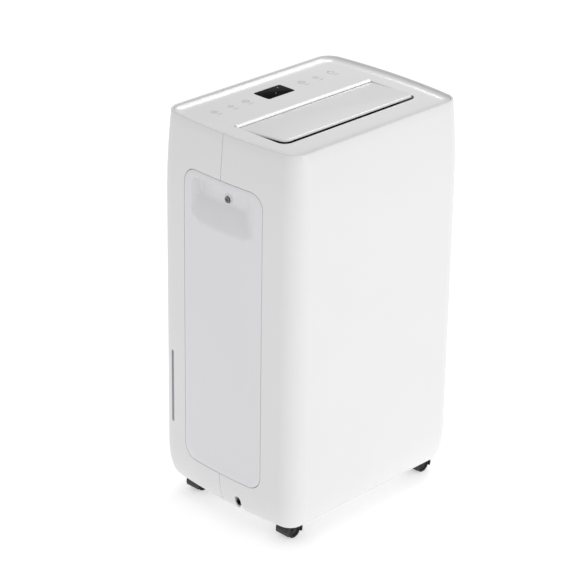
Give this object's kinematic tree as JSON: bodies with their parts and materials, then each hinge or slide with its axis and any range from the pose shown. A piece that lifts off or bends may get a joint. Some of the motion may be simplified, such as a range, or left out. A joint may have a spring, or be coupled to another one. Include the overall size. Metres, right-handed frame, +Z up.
{
  "type": "dehumidifier",
  "caption": "Upright portable compressor dehumidifier: moulded casing with side grips, hinged top outlet flap, rear tank and filter, swivel casters.",
  "frame": {"origin": "on the floor, under the middle of the body's plan", "axes": "+X to the right when facing the plain front, +Y from the plain front to the rear with the tank, +Z up"},
  "size_m": [0.307, 0.2336, 0.52],
  "materials": {
    "white_shell": "fine satin moulded white",
    "panel_white": "fine satin moulded white",
    "deck_grey": "satin pale grey",
    "strip_white": "gloss white",
    "lens_black": "gloss black",
    "guard_dark": "matt dark grey",
    "pan_grey": "matt",
    "caster_black": "matt black",
    "wheel_black": "matt black",
    "tank_clear": "clear tinted",
    "window_grey": "smoked",
    "float_orange": "matt",
    "handle_grey": "satin",
    "mesh_grey": "woven nylon",
    "rubber_black": "matt",
    "zinc_steel": "zinc plated",
    "fin_aluminium": "mill",
    "compressor_paint": "satin black paint",
    "copper": "drawn copper",
    "board_green": "solder mask",
    "box_black": "matt",
    "capacitor_grey": "satin",
    "gland_grey": "matt"
  },
  "bodies": {
    "cabinet": {"front_shell": "white_shell", "rear_shell": "white_shell", "drain_spout": "white_shell", "humidity_sensor": "white_shell", "left_side_panel": "panel_white", "right_side_panel": "panel_white", "top_cover": "deck_grey", "hinge_strip": "strip_white", "display_lens": "lens_black", "outlet_grille": "guard_dark", "base_pan": "pan_grey", "outlet_duct": "pan_grey", "tank_rails": "pan_grey", "drip_tray": "pan_grey", "fan_scroll": "pan_grey", "fan_shroud": "pan_grey", "level_windows": "window_grey", "compressor_grommets": "rubber_black", "tank_sensor": "rubber_black", "side_screws": "zinc_steel", "base_screws": "zinc_steel", "flap_pins": "zinc_steel", "touch_springs": "zinc_steel", "bulkhead": "zinc_steel", "mid_plate": "zinc_steel", "compressor_nuts": "zinc_steel", "fan_motor": "zinc_steel", "motor_screws": "zinc_steel", "evaporator": "fin_aluminium", "condenser": "fin_aluminium", "compressor": "compressor_paint", "accumulator": "compressor_paint", "discharge_pipe": "copper", "suction_pipe": "copper", "display_board": "board_green", "power_box": "box_black", "capacitor": "capacitor_grey", "cord_gland": "gland_grey"},
    "flap": {"outlet_flap": "deck_grey"},
    "fan": {"fan_wheel": "white_shell", "fan_shaft": "zinc_steel", "fan_nut": "zinc_steel"},
    "tank": {"water_tank": "tank_clear", "tank_front": "white_shell"},
    "tank_handle": {"tank_handle": "handle_grey"},
    "tank_lid": {"tank_lid": "pan_grey"},
    "tank_float": {"tank_float": "float_orange"},
    "intake_filter": {"rear_grille": "white_shell", "filter_frame": "guard_dark", "filter_mesh": "mesh_grey"},
    "drain_plug": {"drain_plug": "rubber_black"},
    "caster_fl": {"caster_hood_fl": "caster_black"},
    "wheels_fl": {"caster_wheels_fl": "wheel_black"},
    "caster_fr": {"caster_hood_fr": "caster_black"},
    "wheels_fr": {"caster_wheels_fr": "wheel_black"},
    "caster_rl": {"caster_hood_rl": "caster_black"},
    "wheels_rl": {"caster_wheels_rl": "wheel_black"},
    "caster_rr": {"caster_hood_rr": "caster_black"},
    "wheels_rr": {"caster_wheels_rr": "wheel_black"}
  },
  "joints": [
    {"name": "flap_hinge", "type": "hinge", "parent": "cabinet", "child": "flap", "pos_m": [0, -0.002, 0.5091], "axis": [-1, 0, 0], "range_deg": [0, 75]},
    {"name": "fan_spin", "type": "hinge", "parent": "cabinet", "child": "fan", "pos_m": [0, 0, 0.365], "axis": [0, 1, 0], "continuous": true},
    {"name": "tank_slide", "type": "slide", "parent": "cabinet", "child": "tank", "axis": [0, 1, 0], "range_m": [0, 0.13]},
    {"name": "tank_handle_swing", "type": "hinge", "parent": "tank", "child": "tank_handle", "pos_m": [0, 0.06725, 0.18], "axis": [1, 0, 0], "range_deg": [0, 56]},
    {"name": "tank_lid_lift", "type": "slide", "parent": "tank", "child": "tank_lid", "axis": [0, 0, 1], "range_m": [0, 0.009]},
    {"name": "float_swing", "type": "hinge", "parent": "tank", "child": "tank_float", "pos_m": [-0.098, 0.05125, 0.17], "axis": [0, -1, 0], "range_deg": [0, 14]},
    {"name": "filter_pull", "type": "slide", "parent": "cabinet", "child": "intake_filter", "axis": [0, 1, 0], "range_m": [0, 0.03]},
    {"name": "drain_plug_pull", "type": "slide", "parent": "cabinet", "child": "drain_plug", "axis": [0, 1, 0], "range_m": [0, 0.02]},
    {"name": "caster_fl_swivel", "type": "hinge", "parent": "cabinet", "child": "caster_fl", "pos_m": [-0.119, -0.081, 0.025], "axis": [0, 0, 1], "continuous": true},
    {"name": "wheels_fl_spin", "type": "hinge", "parent": "caster_fl", "child": "wheels_fl", "pos_m": [-0.113, -0.081, 0.0105], "axis": [0, 1, 0], "continuous": true},
    {"name": "caster_fr_swivel", "type": "hinge", "parent": "cabinet", "child": "caster_fr", "pos_m": [0.119, -0.081, 0.025], "axis": [0, 0, 1], "continuous": true},
    {"name": "wheels_fr_spin", "type": "hinge", "parent": "caster_fr", "child": "wheels_fr", "pos_m": [0.125, -0.081, 0.0105], "axis": [0, 1, 0], "continuous": true},
    {"name": "caster_rl_swivel", "type": "hinge", "parent": "cabinet", "child": "caster_rl", "pos_m": [-0.119, 0.081, 0.025], "axis": [0, 0, 1], "continuous": true},
    {"name": "wheels_rl_spin", "type": "hinge", "parent": "caster_rl", "child": "wheels_rl", "pos_m": [-0.113, 0.081, 0.0105], "axis": [0, 1, 0], "continuous": true},
    {"name": "caster_rr_swivel", "type": "hinge", "parent": "cabinet", "child": "caster_rr", "pos_m": [0.119, 0.081, 0.025], "axis": [0, 0, 1], "continuous": true},
    {"name": "wheels_rr_spin", "type": "hinge", "parent": "caster_rr", "child": "wheels_rr", "pos_m": [0.125, 0.081, 0.0105], "axis": [0, 1, 0], "continuous": true}
  ]
}
